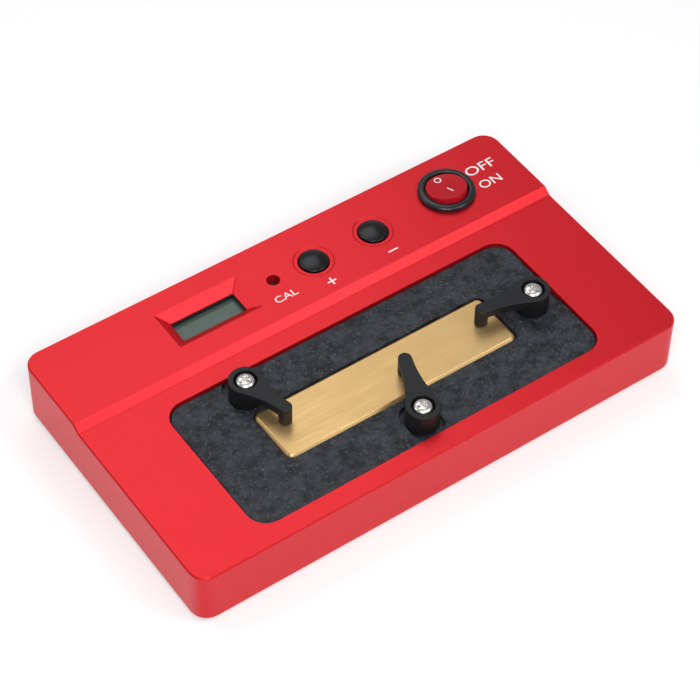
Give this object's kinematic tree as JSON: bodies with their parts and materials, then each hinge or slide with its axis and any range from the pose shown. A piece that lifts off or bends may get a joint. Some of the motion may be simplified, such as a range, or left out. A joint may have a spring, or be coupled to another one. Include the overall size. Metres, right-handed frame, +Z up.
{
  "type": "pcb preheater",
  "caption": "Compact bench preheater for small circuit boards: framed hot plate, swinging hold-down clamps, display, push buttons and a rocker power switch.",
  "frame": {"origin": "bottom of the rubber feet, under the middle of the housing", "axes": "+X along the length towards the power switch, +Y towards the control panel at the rear, +Z up"},
  "size_m": [0.16, 0.0904, 0.0251],
  "materials": {
    "red_anodised": "satin red anodised",
    "black_steel": "satin black paint",
    "bare_steel": "zinc plated",
    "bright_steel": "bright plated",
    "rubber": "matte",
    "composite": "milled fibre composite",
    "gold_anodised": "satin gold anodised",
    "ceramic": "fired alumina",
    "mica": "pressed sheet",
    "clamp_plastic": "satin moulded",
    "gloss_black": "polished",
    "matte_black": "satin moulded",
    "rocker_red": "gloss moulded",
    "circuit_board": "solder mask",
    "display_glass": "glass over an unlit liquid crystal layer",
    "white_plastic": "satin moulded",
    "chip": "matte moulded",
    "capacitor": "satin moulded",
    "fuse": "glass tube",
    "brass": "plated"
  },
  "bodies": {
    "chassis": {"housing": "red_anodised", "base_plate": "black_steel", "base_screw_1": "bare_steel", "base_screw_2": "bare_steel", "base_screw_3": "bare_steel", "base_screw_4": "bare_steel", "foot_1": "rubber", "foot_2": "rubber", "foot_3": "rubber", "foot_4": "rubber", "insulating_insert": "composite", "insert_screw_1": "bare_steel", "insert_screw_2": "bare_steel", "insert_screw_3": "bare_steel", "insert_screw_4": "bare_steel", "heating_plate": "gold_anodised", "heater_element": "ceramic", "mica_sheet": "mica", "temperature_sensor": "bare_steel", "thermal_cutoff": "ceramic", "retainer_tray": "bare_steel", "tray_screw_1": "bare_steel", "tray_screw_2": "bare_steel", "clamp_screw_left": "bright_steel", "clamp_screw_front": "bright_steel", "clamp_screw_right": "bright_steel", "clamp_washer_left": "bright_steel", "clamp_washer_front": "bright_steel", "clamp_washer_right": "bright_steel", "display_glass": "display_glass", "display_holder": "white_plastic", "plus_switch": "matte_black", "minus_switch": "matte_black", "cal_switch": "matte_black", "control_board": "circuit_board", "board_screw_1": "bare_steel", "board_screw_2": "bare_steel", "board_screw_3": "bare_steel", "board_screw_4": "bare_steel", "microcontroller": "chip", "film_capacitor": "capacitor", "triac": "chip", "mains_fuse": "fuse", "switch_body": "matte_black", "switch_terminal_1": "brass", "switch_terminal_2": "brass", "inlet_body": "matte_black", "inlet_pin_1": "brass", "inlet_pin_2": "brass"},
    "clamp_left": {"clamp_arm_left": "clamp_plastic"},
    "clamp_front": {"clamp_arm_front": "clamp_plastic"},
    "clamp_right": {"clamp_arm_right": "clamp_plastic"},
    "plus_button": {"plus_key": "gloss_black", "plus_plunger": "matte_black"},
    "minus_button": {"minus_key": "gloss_black", "minus_plunger": "matte_black"},
    "cal_button": {"cal_key": "matte_black"},
    "power_rocker": {"rocker": "rocker_red"}
  },
  "joints": [
    {"name": "clamp_left_swing", "type": "hinge", "parent": "chassis", "child": "clamp_left", "pos_m": [-0.035, 0.0015, 0.022], "axis": [0, 0, 1], "range_deg": [-110, 85]},
    {"name": "clamp_front_swing", "type": "hinge", "parent": "chassis", "child": "clamp_front", "pos_m": [-0.0006, -0.0328, 0.022], "axis": [0, 0, 1], "range_deg": [-75, 110]},
    {"name": "clamp_right_swing", "type": "hinge", "parent": "chassis", "child": "clamp_right", "pos_m": [0.0496, -0.016, 0.022], "axis": [0, 0, 1], "range_deg": [-90, 105]},
    {"name": "plus_press", "type": "slide", "parent": "chassis", "child": "plus_button", "axis": [0, 0, -1], "range_m": [0, 0.0005], "stiffness_N_per_m": 800},
    {"name": "minus_press", "type": "slide", "parent": "chassis", "child": "minus_button", "axis": [0, 0, -1], "range_m": [0, 0.0005], "stiffness_N_per_m": 800},
    {"name": "cal_press", "type": "slide", "parent": "chassis", "child": "cal_button", "axis": [0, 0, -1], "range_m": [0, 0.0005], "stiffness_N_per_m": 800},
    {"name": "power_toggle", "type": "hinge", "parent": "chassis", "child": "power_rocker", "pos_m": [0.0543, 0.031, 0.0217], "axis": [1, 0, 0], "range_deg": [0, 20]}
  ]
}
